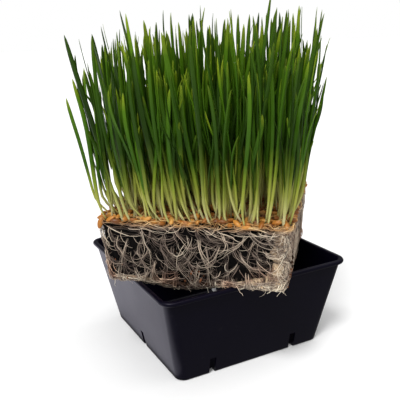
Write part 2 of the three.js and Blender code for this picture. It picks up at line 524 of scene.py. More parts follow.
def plasticMaterial():
    material, graph, place = newMaterial("blackPlastic")
    cloud = graph.noise(place, 18.0, 4.0)
    grain = graph.noise(place, 1400.0, 2.0)
    drag = graph.noise(place * (90.0, 90.0, 900.0), 1.0, 3.0)  # faint level lines from the mould
    dust = graph.fade(graph.noise(place, 260.0, 5.0, 0.7), 0.60, 0.78)
    tone = graph.blend(cloud, (0.0008, 0.0004, 0.0048, 1), (0.0020, 0.0013, 0.0080, 1))
    tone = graph.blend(dust * 0.08, tone, (0.10, 0.09, 0.08, 1))
    rough = cloud * 0.12 + 0.34 + dust * 0.12
    height = grain * 0.4 + drag * 0.6
    return endMaterial(material, graph, tone, rough, 0.17, graph.bump(height, 0.22, 0.15 * mm),
                       {"Specular Tint": (0.92, 0.88, 1.0, 1)})


def quarterTurn(steps):  # sines and cosines over a quarter turn
    angles = [math.pi / 2 * step / steps for step in range(steps + 1)]
    return [(math.sin(angle), math.cos(angle)) for angle in angles]


# Half width, corner radius and height, from the foot up, over the lip and down inside
def traySkin(s, rim, height):
    slope = (s.wallTop - s.base) / (height - s.lipHeight)
    innerTop = s.wallTop - s.wall + slope * s.lipHeight
    innerFoot = s.base - s.wall + slope * s.floor
    innerCorner = s.rimCorner - rim + s.wallTop
    underLip = height - s.lipHeight
    lip = s.lipHeight / 2
    skin = [(s.base + slope * s.foot - s.foot * (1 - sine), s.baseCorner, s.foot * (1 - cosine))
            for sine, cosine in quarterTurn(4)]
    for step in range(1, s.wallSteps + 1):
        z = s.foot + (underLip - s.foot) * step / s.wallSteps
        skin.append((s.base + slope * z, s.baseCorner + (innerCorner - s.baseCorner) * step / s.wallSteps, z))
    for step in range(7):  # the lip's outer edge, a half round
        angle = math.pi * step / 6
        skin.append((rim - lip * 0.62 + lip * 0.62 * math.sin(angle), s.rimCorner,
                     underLip + lip - lip * math.cos(angle)))
    skin += [(innerTop + s.lipRound * (1 - sine), innerCorner, height - s.lipRound * (1 - cosine))
             for sine, cosine in quarterTurn(3)]
    for step in range(1, s.wallSteps + 1):
        z = height - s.lipRound + (s.floor + s.foot - height + s.lipRound) * step / s.wallSteps
        skin.append((innerFoot + slope * (z - s.floor),
                     innerCorner - step / s.wallSteps * (innerCorner - s.baseCorner + s.wall), z))
    skin += [(innerFoot - s.foot * (1 - cosine), s.baseCorner - s.wall, s.floor + s.foot * (1 - sine))
             for sine, cosine in quarterTurn(3)[1:]]
    return skin


def trayMesh():
    s = SimpleNamespace(**traySizes)
    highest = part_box("tray")[1]
    skin = traySkin(s, highest.x, highest.z)
    bm = loftRings([roundRing(h, h, r, z, s.cornerSteps, s.sideSteps) for h, r, z in skin])
    for vertex in bm.verts:  # thin moulded walls are never quite flat
        share = math.sin(math.pi * min(1, max(0, vertex.co.z / highest.z)))
        push = noise.noise(vertex.co * 22) * s.waviness * share
        vertex.co.x += push * (1 if vertex.co.x > 0 else -1)
        vertex.co.y += push * (1 if vertex.co.y > 0 else -1)
    return meshOf(bm)


def slotCutters():
    s = SimpleNamespace(**traySizes)
    bm = bmesh.new()
    deep = s.slotInset + 4 * mm
    for quarter, along in ((0, -1), (0, 1), (2, -1), (2, 1), (1, 0), (3, 0)):  # which wall, where along it
        at = Vector((along * s.slotOffset, -s.base + s.slotInset - deep / 2, s.slotHeight / 2 - 1 * mm))
        size = Matrix.Diagonal((s.slotWidth, deep, s.slotHeight + 2 * mm, 1))
        turn = Matrix.Rotation(quarter * math.pi / 2, 4, "Z")
        bmesh.ops.create_cube(bm, size=1, matrix=turn @ Matrix.Translation(at) @ size)
    return meshOf(bm, smooth=False)


def makeTray():
    piece = addPiece("seed_tray", trayMesh())
    cutter = addPiece("cutter", slotCutters())
    cut = piece.modifiers.new("slots", "BOOLEAN")
    cut.operation = "DIFFERENCE"
    cut.solver = "EXACT"
    cut.object = cutter
    made = evaluated(piece)
    piece.modifiers.clear()
    piece.data = made
    bpy.data.objects.remove(cutter)
    piece.data.materials.clear()
    piece.data.materials.append(plasticMaterial())
    piece.data.set_sharp_from_angle(angle=math.radians(40))
    finishPiece(piece, ["tray"])


makeTray()
print("tray ready")

# Soil
matSizes = {
    "corner": 4 * mm, "soften": 1.2 * mm, "soilInset": 0.6 * mm, "step": 1.3 * mm, "capStep": 2.6 * mm,
    "lumps": 0.8 * mm, "crumble": 0.5 * mm,
    "sag": 2.6 * mm, "sagRun": 16 * mm, "sagHeight": 24 * mm, "rimInside": 60 * mm,
}
crumbSizes = {"Spacing": 1.9 * mm, "Smallest": 0.25 * mm, "Largest": 0.75 * mm, "Warm": 0.0, "Seed": 4}
barkSizes = {"Spacing": 2.6 * mm, "Smallest": 0.45 * mm, "Largest": 1.5 * mm, "Warm": 0.56}


def soilMaterial():
    material, graph, place = newMaterial("dampSoil")
    clods = graph.noise(place, 420.0, 6.0, 0.65)
    fibre = graph.noise(place * (1.0, 1.0, 2.4), 900.0, 4.0, 0.6)
    tone = graph.ramp(clods, [
        (0.30, (0.0012, 0.0010, 0.0010)), (0.55, (0.0035, 0.0028, 0.0024)),
        (0.74, (0.008, 0.006, 0.005)), (0.92, (0.04, 0.026, 0.018))])
    return endMaterial(material, graph, tone, fibre * 0.2 + 0.75, 0.12,
                       graph.bump(clods + fibre * 0.5, 0.9, 0.6 * mm))


def crumbMaterial():
    material, graph, place = newMaterial("crumbs")
    tint = graph.attribute("tint")
    mottle = graph.noise(place, 900.0, 4.0)
    tone = graph.ramp(tint * 0.8 + mottle * 0.2, [
        (0.0, (0.0012, 0.0010, 0.0009)), (0.44, (0.0035, 0.0026, 0.0022)),
        (0.64, (0.05, 0.022, 0.012)), (0.95, (0.22, 0.082, 0.036))])
    return endMaterial(material, graph, tone, mottle * 0.3 + 0.6, 0.08, graph.bump(mottle, 0.8, 0.3 * mm))


# Pushes the block's skin in and out, in lumps and then in crumbs
def soilTree():
    graph, given = newTree("crumbleSoil", {"Lumps": 0.0, "Crumbs": 0.0})
    place = graph.node("GeometryNodeInputPosition")
    lumps = (graph.noise(place, 95.0, 2.0) - 0.62) * given["Lumps"] * 2.0
    crumbs = (graph.noise(place, 480.0, 2.0) - 0.5) * given["Crumbs"] * 2.0
    push = graph.node("GeometryNodeInputNormal") * (lumps + crumbs)
    return graph.end(graph.shift(given["Geometry"], Offset=push), given["Material"])


def crumbTree():
    graph, given = newTree("scatterCrumbs", crumbSizes)
    seed = given["Seed"]
    tint = graph.chance(seed + 1) ** 1.6 * 0.62 + given["Warm"]
    points = graph.keep(graph.scatter(given, 900000.0), tint=tint)
    crumb = graph.node("GeometryNodeMeshIcoSphere", None, {"Radius": 1.0, "Subdivisions": 1})
    size = given["Smallest"] + (given["Largest"] - given["Smallest"]) * graph.chance(seed + 2) ** 3.0
    uneven = graph.chanceWay(seed + 3, (0.55, 0.4, 0.35)) + (1.15, 0.8, 0.6)
    turned = graph.chanceWay(seed + 4, (3.0, 3.0, 3.0))
    crumbs = graph.copies(points, crumb, Rotation=turned, Scale=uneven * size)
    return graph.end(crumbs, given["Material"])


def facesOf(mesh, wanted):  # a copy with only the faces that are wanted
    bm = bmesh.new()
    bm.from_mesh(mesh)
    bmesh.ops.delete(bm, geom=[f for f in bm.faces if not wanted(f)], context="FACES")
    made = bpy.data.meshes.new("patch")
    bm.to_mesh(made)
    bm.free()
    return made


def makeSoil():
    low = mat.feltTop - 0.4 * mm
    base = meshOf(blockMesh(low, mat.top, matSizes["soilInset"], matSizes["step"], matSizes["capStep"]))
    made = runTree("soil", base, soilTree(), {
        "Lumps": matSizes["lumps"], "Crumbs": matSizes["crumble"], "Material": soilMaterial()})
    onMat("soil", made, ["soil_block"])
    sides = facesOf(base, lambda f: f.calc_center_median().z < mat.top - 0.1 * mm)
    tree, material = crumbTree(), crumbMaterial()
    low, half, deep = mat.bottom, mat.halfLength, mat.halfDepth
    around = meshOf(blockMesh(low, mat.top, -0.4 * mm, 2 * mm, 8 * mm))
    edge = facesOf(around, lambda f: abs(f.normal.z) < 0.9)

    def near(p, x, y, z, spread):
        return (p - Vector((x * half, y * deep, low + z * mm))).length < spread * mm

    plans = [
        ("soil_crumbs", sides, lambda p: True, crumbSizes),
        ("bark_right", edge, lambda p: near(p, 1, -0.72, 8, 12) and p.x > 0.94 * half, dict(barkSizes, Seed=6)),
        ("bark_middle", edge, lambda p: near(p, 0.02, -1, 3, 8), dict(barkSizes, Seed=7)),
        ("bark_left", edge, lambda p: near(p, -0.9, -1, 3, 10), dict(barkSizes, Seed=8, Largest=0.9 * mm)),
    ]
    for name, ground, test, sizes in plans:
        patch = facesOf(ground, lambda f: test(f.calc_center_median()))
        onMat(name, runTree(name, patch, tree, dict(sizes, Material=material)))


makeSoil()
print("soil ready")

# Felt of matted roots: the base, and the sheet up the right side
feltSizes = {
    "step": 1.2 * mm, "capStep": 4 * mm, "lumps": 0.9 * mm, "fray": 0.5 * mm,
    "sheetRows": 34, "sheetColumns": 120, "sheetRagged": 2.2 * mm, "sheetWave": 0.4 * mm, "sheetThin": 0.9 * mm,
    "sheetCut": 0.30, "sheetShort": 4 * mm, "frontReach": 5 * mm, "footReach": 22 * mm,
}


def feltMaterial(name, pale, dark, dirt, shade):
    material, graph, place = newMaterial(name)
    warp = graph.noise(place, 140.0, 2.0, out="Color") * 0.006
    threads = graph.noise((place + warp) * (680.0, 680.0, 95.0), 1.0, 4.0, 0.6)
    cross = graph.noise((place - warp) * (150.0, 150.0, 760.0), 1.0, 3.0, 0.6)
    weave = graph.maths("MAXIMUM", threads, cross)
    patches = graph.fade(graph.noise(place, 110.0, 4.0, 0.65), 0.42, 0.66)
    # dark stains, only where the side face is painted shade and where the base is darker in the middle
    stains = graph.fade(graph.noise(place, 240.0, 4.0, 0.7), 0.46, 0.60) * graph.attribute("shaded")
    between = tuple((a + b) / 2 for a, b in zip(dark, pale))
    tone = graph.ramp(weave, [(0.43, dark), (0.54, between), (0.67, pale)])
    tone = graph.blend(patches * 0.7, tone, (*dirt, 1))
    # the shade colour is multiplied in by that attribute: painted shade on the side sheet's right-hand face, and a
    # darker middle on the base
    tone = graph.blend(graph.attribute("shaded"), tone, (*shade, 1), "MULTIPLY")
    tone = graph.blend(stains * 0.8, tone, (0.045, 0.026, 0.022, 1))
    return endMaterial(material, graph, tone, 0.85, 0.2, graph.bump(weave, 1.0, 0.7 * mm))


# Down the mat's right side and round the front corner: place and outward way at a distance along it
def sheetPath(distance, halfX, halfY):
    r, short = matSizes["corner"], feltSizes["sheetShort"]
    straight = 2 * halfY - r - short
    turn = r * math.pi / 2
    if distance < straight:
        return Vector((halfX, halfY - short - distance)), Vector((1, 0))
    if distance < straight + turn:
        angle = (distance - straight) / r
        way = Vector((math.cos(angle), -math.sin(angle)))
        return Vector((halfX - r, r - halfY)) + way * r, way
    return Vector((halfX - r - (distance - straight - turn), -halfY)), Vector((0, -1))


def swell(x, y, z):
    return noise.noise(Vector((x, y, z)))


def sheetMesh():  # a thin ragged skin in the mat's frame
    s = SimpleNamespace(**feltSizes)
    low, high = mat.bottom + 0.6 * mm, mat.top + 0.3 * mm
    outer, inner = [], []
    bm = bmesh.new()
    shaded = bm.verts.layers.float.new("shaded")
    for row in range(s.sheetRows + 1):
        v = row / s.sheetRows
        halfX, halfY = matHalves(low + (high - low) * v)
        front = s.frontReach + s.footReach * math.exp(-(v / 0.14) ** 2)
        front += s.sheetRagged * (swell(v * 6, 4, 9) + swell(v * 19, 2, 5))
        back = s.sheetRagged * swell(v * 7, 8, 1)
        total = 2 * halfY - s.sheetShort + (math.pi / 2 - 1) * matSizes["corner"] + front
        for column in range(s.sheetColumns + 1):
            u = column / s.sheetColumns
            at, way = sheetPath(back + (total - back) * u, halfX, halfY)
            ragged = swell(u * 9, 0.3, 2.1) + 0.7 * swell(u * 26, 1.3, 4.2)
            cut = s.sheetCut * max(0, 1 - u * 1.35) + 0.04 * ragged
            z = low + (high - low + ragged * s.sheetRagged) * (cut + (1 - cut) * v)
            wave = swell(u * 10, v * 3, 1) + 0.6 * swell(u * 30, v * 9, 5)
            edge = min(1, u * 14, (1 - u) * 9, v * 5 + 0.2, (1 - v) * 5 + 0.1)
            off = s.sheetWave * (wave + 0.35) * edge
            off = off + 0.35 * mm * swell(u * 90, v * 26, 3) - 0.3 * mm * (1 - edge)
            outer.append(bm.verts.new((*(at + way * off), z)))
            inner.append(bm.verts.new((*(at + way * (off - s.sheetThin * (0.4 + edge))), z)))
            # the right-hand face, which the key light misses, is marked for painted shade; the front wrap is not
            outer[-1][shaded] = inner[-1][shaded] = max(0, way.x)
    rows, columns = s.sheetRows, s.sheetColumns
    width = columns + 1
    for row in range(rows):
        for k in range(row * width, row * width + columns):
            bm.faces.new((outer[k], outer[k + 1], outer[k + width + 1], outer[k + width]))
            bm.faces.new((inner[k], inner[k + width], inner[k + width + 1], inner[k + 1]))
    border = list(range(columns))
    border += [columns + row * width for row in range(rows)]
    border += [rows * width + k for k in range(columns, 0, -1)]
    border += [row * width for row in range(rows, 0, -1)]
    for k, after in zip(border, border[1:] + border[:1]):
        bm.faces.new((outer[k], inner[k], inner[after], outer[after]))
    return meshOf(bm)


def makeFelt():
    s = feltSizes
    base = meshOf(blockMesh(mat.bottom, mat.feltTop, 0.2 * mm, s["step"], s["capStep"]))
    darkerMiddle = base.attributes.new("shaded", "FLOAT", "POINT")  # darker towards the middle
    for vertex, entry in zip(base.vertices, darkerMiddle.data):
        u = vertex.co.x / mat.halfLength + 0.25 * noise.noise(vertex.co * 60)
        entry.value = min(1, max(0, 1.9 - abs(u + 0.12) * 4))
    # the base's shade colour darkens its middle
    material = feltMaterial("feltBase", (0.66, 0.50, 0.34), (0.07, 0.047, 0.033), (0.22, 0.105, 0.065),
                            (0.16, 0.11, 0.09))
    made = runTree("felt_base", base, soilTree(), {
        "Lumps": s["lumps"], "Crumbs": s["fray"], "Material": material})
    onMat("felt_base", made, ["root_felt_base"])
    sheet = sheetMesh()
    # its shade colour is painted shade, cooler and darker, on the right-hand face
    sheet.materials.append(feltMaterial(
        "feltSide", (0.92, 0.70, 0.46), (0.13, 0.08, 0.05), (0.30, 0.17, 0.11), (0.86, 0.88, 1)))
    onMat("felt_side", sheet, ["root_felt_side"])


makeFelt()
print("felt ready")

# Roots
strandSteps = 14
rootPlain = {"Cling": 1.0, "Outward": 0.0, "Droop": 0.0, "Axis": (0.0, 0.0, -1.0), "Paler": 0.0}
rootLayers = {
    # bundles run side by side, threads singly, mesh is the tight cream felt, gold runs along the top edge
    "bundles": {"Spacing": 6.5 * mm, "Tuft": 8, "Jitter": 1.1 * mm, "Fan": 0.18, "Flow": 4.5, "Swing": 0.9,
                "Shortest": 12 * mm, "Longest": 30 * mm, "Thickness": 0.155 * mm, "Curl": 2.4, "Wander": 3.8 * mm,
                "Lift": 1.5 * mm, "Seed": 5},
    "threads": {"Spacing": 4.9 * mm, "Tuft": 1, "Jitter": 0.0, "Fan": 0.3, "Flow": 4.0, "Swing": 1.6,
                "Shortest": 7 * mm, "Longest": 26 * mm, "Thickness": 0.19 * mm, "Curl": 3.0, "Wander": 4.0 * mm,
                "Lift": 2.0 * mm, "Seed": 9, "Paler": 0.16},
    "mesh": {"Spacing": 3.1 * mm, "Tuft": 4, "Jitter": 1.0 * mm, "Fan": 0.5, "Flow": 3.0, "Swing": 0.9,
             "Shortest": 8 * mm, "Longest": 22 * mm, "Thickness": 0.165 * mm, "Curl": 1.8, "Wander": 2.2 * mm,
             "Lift": 1.3 * mm, "Seed": 13, "Paler": 0.42},
    "gold": {"Spacing": 2.9 * mm, "Tuft": 3, "Jitter": 1.0 * mm, "Fan": 0.25, "Flow": 0.8, "Swing": 0.45,
             "Shortest": 9 * mm, "Longest": 28 * mm, "Thickness": 0.25 * mm, "Curl": 0.8, "Wander": 2.2 * mm,
             "Lift": 2.0 * mm, "Seed": 17, "Axis": (1.0, 0.2, 0.0), "Paler": 0.15},
    "loose": {"Spacing": 2.6 * mm, "Tuft": 1, "Jitter": 0.8 * mm, "Fan": 0.7, "Flow": 0.5, "Swing": 0.6,
              "Shortest": 3 * mm, "Longest": 10 * mm, "Thickness": 0.17 * mm, "Curl": 2.0, "Wander": 2.6 * mm,
              "Lift": 0.6 * mm, "Seed": 23, "Cling": 0.0, "Outward": 0.7, "Droop": 1.0 * mm,
              "Axis": (0.7, 0.0, -1.0), "Paler": 0.5},
}


def rootMaterial():
    material, graph, place = newMaterial("rootStrands")
    tint = graph.attribute("tint")
    mottle = graph.noise(place, 300.0, 3.0)
    # dark to cream: the dark end is partly painted shade on low-lying strands, the rest differs at random
    tone = graph.ramp(tint * 0.75 + mottle * 0.25, [
        (0.12, (0.010, 0.007, 0.006)), (0.40, (0.060, 0.042, 0.034)),
        (0.58, (0.26, 0.195, 0.155)), (0.74, (0.68, 0.56, 0.43)), (1.0, (0.98, 0.88, 0.70))])
    gold = graph.fade(place.z + mottle * 6 * mm, mat.top - 1 * mm, mat.top + 5 * mm)
    rich = graph.ramp(tint, [
        (0.1, (0.05, 0.020, 0.006)), (0.45, (0.31, 0.128, 0.024)), (0.7, (0.54, 0.26, 0.062)),
        (1.0, (0.76, 0.49, 0.18))])
    warm = graph.fade(graph.noise(place, 55.0, 2.0), 0.52, 0.68) * graph.fade(
        place.z, mat.bottom + 4 * mm, mat.bottom + 16 * mm, 0.6, 0.12)
    tone = graph.blend(warm, tone, (0.95, 0.52, 0.36, 1), "MULTIPLY")
    tone = graph.blend(gold * 0.9, tone, rich)
    return endMaterial(material, graph, tone, 0.62, 0.3, graph.bump(mottle, 0.4, 0.1 * mm))


# Strands that wander over the skin of the mat
def rootTree():
    graph, given = newTree("spinRoots", dict(rootPlain, **rootLayers["bundles"], Skin=bpy.types.Object))
    seed = given["Seed"]
    spread = graph.scatter(given, 600000.0)
    normal = spread.out("Normal")
    spot = graph.node("GeometryNodeInputPosition")
    lead = graph.square(given["Axis"], normal)
    calm = graph.fade(spot.z, mat.bottom + 8 * mm, mat.bottom + 26 * mm, 0.32, 1.0)
    flow = (graph.noise(spot, 60.0, 1.0) - 0.5) * given["Flow"]  # neighbours run the same way
    points = graph.keep(
        spread, lead=lead, cross=graph.cross(normal, lead), outward=normal,
        angle=(flow + graph.chance(seed + 1, -1.0, 1.0) * given["Swing"]) * calm,
        reach=graph.chance(seed + 4, given["Shortest"], given["Longest"]),
        curl=graph.chance(seed + 5, -1.0, 1.0) * given["Curl"],
        phase=graph.chance(seed + 6, 0.0, 60.0), layer=graph.chance(seed + 8))
    points = graph.node("GeometryNodeDuplicateElements", {"domain": "POINT"},
                        {"Geometry": points, "Amount": given["Tuft"]})
    stray = given["Fan"]  # how far a strand leaves the path its bundle shares
    angle = graph.kept("angle") + graph.chance(seed + 2, -1.0, 1.0) * stray
    outward = graph.keptWay("outward")
    way = graph.keptWay("lead") * graph.maths("COSINE", angle)
    way = way + graph.keptWay("cross") * graph.maths("SINE", angle)
    # layer sets how high a strand lies; through tint, low-lying strands are also painted darker, which is painted
    # shade for their sinking into the soil
    layer = graph.kept("layer") * 0.55 + graph.chance(seed + 13, 0.0, 0.45)
    points = graph.keep(
        points, start=spot + graph.chanceWay(seed + 3, (1.0, 1.0, 1.0)) * given["Jitter"],
        way=graph.unit(way + outward * given["Outward"]), sideways=graph.cross(outward, way),
        reach=graph.kept("reach") * graph.chance(seed + 10, 0.6, 1.1),
        curl=graph.kept("curl") + graph.chance(seed + 11, -1.0, 1.0) * stray + 0.011,
        phase=graph.kept("phase") + graph.chance(seed + 12, -1.0, 1.0) * stray,
        girth=graph.chance(seed + 7) ** 2.0 + 0.45, layer=layer,
        tint=layer * 0.65 + graph.chance(seed + 9, 0.0, 0.35) + given["Paler"])
    line = graph.node("GeometryNodeMeshLine", {"mode": "OFFSET"},
                      {"Count": strandSteps, "Start Location": (0.0, 0.0, 0.0), "Offset": (0.0, 0.0, 0.0)})
    line = graph.keep(line, share=graph.node("GeometryNodeInputIndex") / (strandSteps - 1))
    strands = graph.realize(graph.copies(points, line))
    share, phase, curl, reach = (graph.kept(name) for name in ("share", "phase", "curl", "reach"))
    bent = curl * share
    along = graph.maths("SINE", bent) / curl * reach
    aside = (1.0 - graph.maths("COSINE", bent)) / curl * reach
    waver = graph.noise(graph.xyz(share * 2.6 + phase, phase * 0.37, 0.0), 1.0, 2.0) - 0.5
    waver = waver * given["Wander"] * 2.0
    place = graph.keptWay("start") + graph.keptWay("way") * along
    place = place + graph.keptWay("sideways") * (aside + waver * share)
    place = place + (graph.noise(place, 70.0, 1.0, out="Color") - (0.5, 0.5, 0.5)) * given["Wander"]
    place = place + graph.xyz(0.0, 0.0, share * share * given["Droop"] * -1.0)
    skin = graph.shapeOf(given["Skin"])
    near = graph.node("GeometryNodeProximity", {"target_element": "FACES"},
                      {"Geometry": skin, "Sample Position": place}, "Position")
    facing = graph.node("GeometryNodeSampleNearestSurface", {"data_type": "FLOAT_VECTOR"}, {
        "Mesh": skin, "Value": graph.node("GeometryNodeInputNormal"), "Sample Position": place})
    ends = 1.0 - abs(share * 2.0 - 1.0) ** 5.0 * 1.6
    hump = graph.noise(graph.xyz(share * 4.0, phase, 3.0), 1.0, 1.0) + 0.3
    lift = given["Lift"] * ends * hump * (graph.kept("layer") * 1.6 - 0.25)
    cling = graph.node("ShaderNodeClamp", None, {"Value": 1.0 - share * 4.0 + given["Cling"] * 4.0})
    held = (near + facing * lift) * cling + place * (1.0 - cling)
    curves = graph.node("GeometryNodeMeshToCurve", None, {"Mesh": graph.shift(strands, Position=held)})
    ring = graph.node("GeometryNodeCurvePrimitiveCircle", None, {"Resolution": 4, "Radius": 1.0})
    girth = given["Thickness"] * graph.kept("girth") * (1.2 - share * 0.8)
    girth = girth * graph.fade(share, 0.0, 0.12, 0.35, 1.0)
    tubes = graph.node("GeometryNodeCurveToMesh", None, {
        "Curve": curves, "Profile Curve": ring, "Scale": girth, "Fill Caps": True})
    tubes = graph.drop(graph.smooth(tubes), "lead cross outward angle start way sideways reach curl")
    tubes = graph.drop(tubes, "phase girth layer share")
    return graph.end(tubes, given["Material"])


def makeRoots():
    tree = rootTree()
    skin = addPiece("skin", meshOf(blockMesh(mat.bottom, mat.top + 0.8 * mm, 0.1 * mm, 2.5 * mm, 5 * mm)))
    material = rootMaterial()
    half, deep, low, top = mat.halfLength, mat.halfDepth, mat.bottom, mat.top

    def patch(facing, test):
        return facesOf(skin.data, lambda f: f.normal.dot(Vector(facing)) > 0.6 and test(f.calc_center_median()))

    def anywhere(p):
        return True

    def highest(p):
        return p.z > top - 4.5 * mm

    front, back, left, right, up = (0, -1, 0), (0, 1, 0), (-1, 0, 0), (1, 0, 0), (0, 0, 1)
    plans = [
        # name, layer, the face it grows on, where on it, what differs from its layer
        ("front_bundles", "bundles", front, anywhere, {}),
        ("front_threads", "threads", front, anywhere, {}),
        ("front_mesh", "mesh", front, lambda p: p.x > half * 0.86 or (p.x > 0.15 * half and p.z < low + 5 * mm)
         or (p.x < -0.72 * half and p.z < low + 7 * mm) or p.x < -0.95 * half, {}),
        ("front_gold", "gold", front, lambda p: p.z > top - 2.8 * mm, {}),
        ("front_foot", "gold", front, lambda p: p.z < low + 3.5 * mm and abs(p.x + 0.1 * half) > 0.25 * half, {
            "Seed": 31, "Lift": 1.0 * mm, "Longest": 20 * mm}),
        ("right_mesh", "mesh", right, anywhere, {
            "Seed": 37, "Paler": 0.10, "Spacing": 3.8 * mm, "Lift": 0.9 * mm, "Thickness": 0.16 * mm}),
        ("back_bundles", "bundles", back, anywhere, {"Seed": 41}),
        ("back_threads", "threads", back, anywhere, {"Seed": 43}),
        ("back_gold", "gold", back, highest, {"Seed": 47}),
        ("left_bundles", "bundles", left, anywhere, {"Seed": 53}),
        ("left_threads", "threads", left, anywhere, {"Seed": 59}),
        ("left_gold", "gold", left, highest, {"Seed": 61, "Axis": (0.2, 1.0, 0.0)}),
        ("brow_gold", "gold", up, lambda p: p.y < -0.88 * deep, {
            "Seed": 79, "Spacing": 9 * mm, "Lift": 3.0 * mm, "Tuft": 2}),
        ("top_gold", "gold", up, lambda p: p.z > top, {"Seed": 67, "Spacing": 4 * mm, "Swing": 3.0}),
        ("loose_right", "loose", front, lambda p: p.x > half * 0.72 and p.z < low + 3 * mm, {}),
        ("loose_left", "loose", front, lambda p: p.x < -half * 0.86 and p.z < low + 3 * mm, {
            "Seed": 71, "Spacing": 3.6 * mm, "Longest": 9 * mm}),
        ("loose_foot", "loose", front, lambda p: p.z < low + 3 * mm, {
            "Seed": 73, "Spacing": 8 * mm, "Longest": 6 * mm, "Outward": 0.3, "Axis": (1.0, 0.0, -0.4)}),
    ]
    for name, layer, facing, test, changes in plans:
        sizes = {**rootLayers[layer], "Skin": skin, "Material": material, **changes}
        onMat("roots_" + name, runTree(name, patch(facing, test), tree, sizes))
    bpy.data.objects.remove(skin)


makeRoots()
print("roots ready")

# Grains
huskSizes = {"Length": 6.6 * mm, "Girth": 3.2 * mm}
huskShape = {"segments": 10, "rings": 7, "crease": 0.34}
sowSizes = dict(huskSizes, Spacing=3.7 * mm, Tilt=0.55, Seed=14)
# Along and across the mat as shares of its half sides, height over its top, and which way it points
hangingGrains = [
    ((-0.985, -0.985, -1.2), (0.25, 0.25, 1.0)),
    ((-0.99, -0.90, 1.0), (0.9, 0.1, 0.15)),
    ((-0.80, -1.0, 0.6), (1.0, 0.3, -0.2)),
    ((0.55, -1.0, 0.4), (0.9, -0.2, 0.2)),
]


def grainMaterial():
    material, graph, place = newMaterial("grainHusk")
    tint = graph.attribute("tint")
    end = graph.attribute("lengthwise")
    mottle = graph.noise(place, 500.0, 4.0)
    tone = graph.ramp(tint * 0.7 + mottle * 0.3, [
        (0.1, (0.10, 0.030, 0.006)), (0.42, (0.34, 0.115, 0.016)), (0.68, (0.56, 0.225, 0.034)),
        (0.95, (0.76, 0.42, 0.11))])
    tone = graph.blend(graph.fade(end, 0.7, 1.0) * 0.4, tone, (0.70, 0.46, 0.18, 1))
    wrinkles = graph.noise(place, 1500.0, 3.0)
    return endMaterial(material, graph, tone, mottle * 0.25 + 0.32, 0.45,
                       graph.bump(wrinkles * 0.5 + mottle * 0.5, 0.45, 0.25 * mm))


# Grains on points that hold the way each one lies
def grainTree():
    graph, given = newTree("shapeGrains", huskSizes)
    ball = graph.node("GeometryNodeMeshUVSphere", None, {
        "Segments": huskShape["segments"], "Rings": huskShape["rings"], "Radius": 1.0})
    ball = graph.node("GeometryNodeTransform", None, {"Geometry": ball, "Rotation": (0.0, math.pi / 2, 0.0)})
    spot = graph.node("GeometryNodeInputPosition")
    x, y, z = spot.x, spot.y, spot.z
    slim = 1.0 - x * x * 0.16 + x * 0.06
    groove = graph.fade(abs(y), 0.0, 0.42, huskShape["crease"], 0.0) * graph.fade(z, 0.0, 0.6)
    ball = graph.shift(ball, Position=graph.xyz(x, y * slim, z * slim * 0.9 - groove * slim))
    ball = graph.keep(ball, lengthwise=x)
    aim = graph.node("FunctionNodeAlignRotationToVector", {"axis": "X"}, {"Vector": graph.keptWay("aim")})
    roll = graph.node("FunctionNodeAxisAngleToRotation", None,
                      {"Axis": (1.0, 0.0, 0.0), "Angle": graph.kept("roll")})
    turned = graph.node("FunctionNodeRotateRotation", {"rotation_space": "LOCAL"},
                        {"Rotation": aim, "Rotate By": roll})
    girth = given["Girth"] * 0.5
    grains = graph.copies(given["Geometry"], ball, Rotation=turned,
                          Scale=graph.xyz(given["Length"] * 0.5, girth, girth) * graph.kept("size"))
    grains = graph.smooth(graph.realize(grains))
    return graph.end(graph.drop(grains, "aim roll size"), given["Material"])


def sowTree(shape):
    graph, given = newTree("sowGrains", dict(sowSizes, Planted=bpy.types.Object))
    seed = given["Seed"]
    points = awayFrom(graph, graph.scatter(given, 500000.0), given["Planted"], given["Spacing"])
    turn = graph.chance(seed + 1, 0.0, anyTurn)
    tilt = graph.chance(seed + 2, -1.0, 1.0) * given["Tilt"]
    points = graph.keep(
        points, aim=graph.xyz(graph.maths("COSINE", turn), graph.maths("SINE", turn), tilt),
        roll=graph.chance(seed + 3, 0.0, anyTurn), size=graph.chance(seed + 4, 0.85, 1.08),
        tint=graph.chance(seed + 5))
    points = graph.shift(points, Offset=graph.xyz(0.0, 0.0, graph.chance(seed + 6, -0.4 * mm, 2.5 * mm)))
    return graph.end(graph.node("GeometryNodeGroup", {"node_tree": shape}, {
        "Geometry": points, "Length": given["Length"], "Girth": given["Girth"], "Material": given["Material"]}))


def awayFrom(graph, points, planted, distance):  # drops points that stand where something already grows
    gap = graph.node("GeometryNodeProximity", {"target_element": "POINTS"},
                     {"Geometry": graph.shapeOf(planted)}, "Distance")
    return graph.node("GeometryNodeDeleteGeometry", {"domain": "POINT"}, {
        "Geometry": points, "Selection": graph.maths("LESS_THAN", gap, distance)})


def pointMesh(points):  # one vertex per entry, its values as attributes
    mesh = bpy.data.meshes.new("points")
    mesh.from_pydata([p["foot"] for p in points], [], [])
    for name, value in points[0].items():
        if name == "foot":
            continue
        vectors = isinstance(value, Vector)
        values = mesh.attributes.new(name, "FLOAT_VECTOR" if vectors else "FLOAT", "POINT")
        flat = [n for p in points for n in (p[name] if vectors else (p[name],))]
        values.data.foreach_set("vector" if vectors else "value", flat)
    return mesh


def topPatch(inset, z):  # flat ground for what grows on the mat, in the mat's frame
    ring = roundRing(mat.halfLength - inset, mat.halfDepth - inset, matSizes["corner"], z, 6, 2)
    bm = bmesh.new()
    bm.faces.new([bm.verts.new(p) for p in ring])
    bmesh.ops.triangulate(bm, faces=bm.faces)
    mesh = bpy.data.meshes.new("patch")
    bm.to_mesh(mesh)
    bm.free()
    return mesh


def readGrain(name):
    points = nodePoints(name)
    foot = middleOf(points)
    tip = max(points, key=lambda p: (p - foot).length)
    rng = random.Random(name)
    return {"foot": foot, "aim": (tip - foot).normalized(), "roll": rng.uniform(2.6, 3.7), "size": 1.0,
            "tint": rng.uniform(0.2, 1)}


